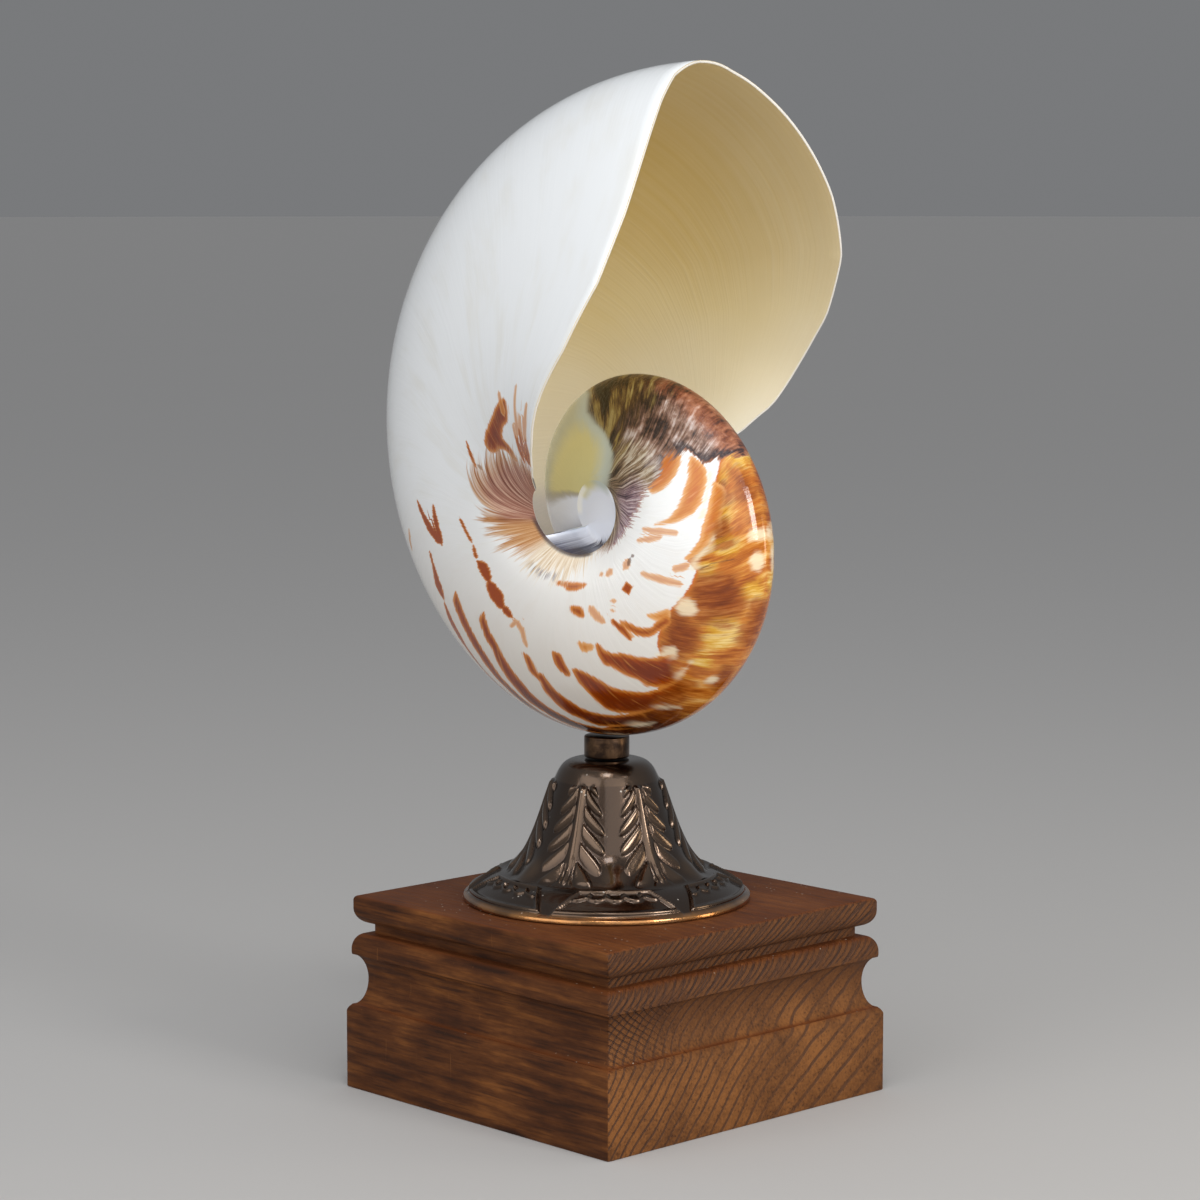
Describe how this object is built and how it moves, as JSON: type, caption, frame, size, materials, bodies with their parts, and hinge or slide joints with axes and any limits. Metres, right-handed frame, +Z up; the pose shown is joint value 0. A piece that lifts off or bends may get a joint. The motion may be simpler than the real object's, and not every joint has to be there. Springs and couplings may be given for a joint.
{
  "type": "chambered nautilus shell on stand",
  "caption": "Polished chambered nautilus shell, mouth up, on a short brass collar, a cast bronze bell foot with hanging leaves and a square moulded wooden plinth.",
  "frame": {"origin": "centre of the wooden plinth's underside", "axes": "+Z up; X and Y along the plinth's square sides; the shell's mouth opens towards +X and up; its coil lies in the XZ plane, turned 4.8 degrees about Z"},
  "size_m": [0.1237, 0.106, 0.2661],
  "materials": {
    "oiled_wood": "oiled, satin",
    "dark_bronze": "antique bronze, dark and glossy",
    "brass": "aged, polished",
    "shell_porcelain": "polished, glossy"
  },
  "bodies": {
    "root": {"plinth": "oiled_wood", "bell_foot": "dark_bronze", "collar": "brass", "shell": "shell_porcelain"}
  },
  "joints": []
}
